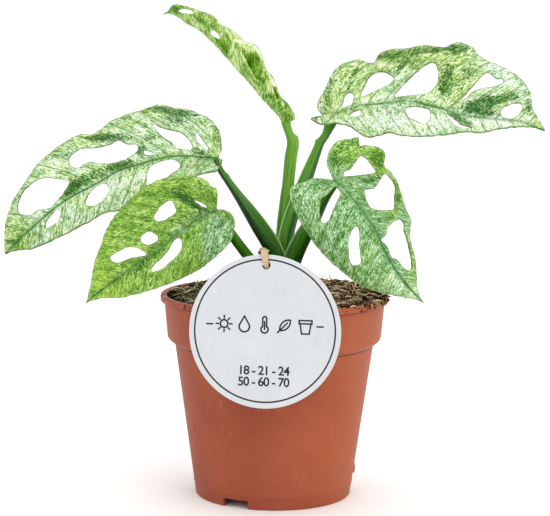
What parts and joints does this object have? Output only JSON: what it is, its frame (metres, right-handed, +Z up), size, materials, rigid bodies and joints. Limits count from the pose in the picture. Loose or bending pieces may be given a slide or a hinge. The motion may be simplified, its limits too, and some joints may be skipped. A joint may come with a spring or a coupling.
{
  "type": "potted monstera adansonii",
  "caption": "Young Swiss cheese vine with holed, mint-variegated leaves in a round terracotta-coloured plastic pot, with a round card tag tied to its stalks",
  "frame": {"origin": "on the pot's axis, at the surface that the pot stands on", "axes": "+Z up along the pot's axis, -Y towards the side with the tag, +X along the spread of the large leaves"},
  "size_m": [0.2828, 0.1386, 0.2572],
  "materials": {
    "terracotta_plastic": "moulded plastic with a faint sheen",
    "compost": "loose dark compost with pale fibres",
    "stalk": "smooth green stalk",
    "pale_leaf": "leathery leaf, near-white mint marbling over green",
    "green_leaf": "leathery leaf, yellow-green with fine marbling",
    "mint_leaf": "leathery leaf, bluish mint with pale speckle",
    "card": "smooth white card",
    "elastic": "flat woven elastic"
  },
  "bodies": {
    "root": {"pot": "terracotta_plastic", "soil": "compost", "stems": "stalk", "leaf_left_upper": "pale_leaf", "leaf_left_lower": "green_leaf", "leaf_furled": "green_leaf", "leaf_right_upper": "pale_leaf", "leaf_right_lower": "mint_leaf", "tag": "card", "tag_tie": "elastic"}
  },
  "joints": []
}
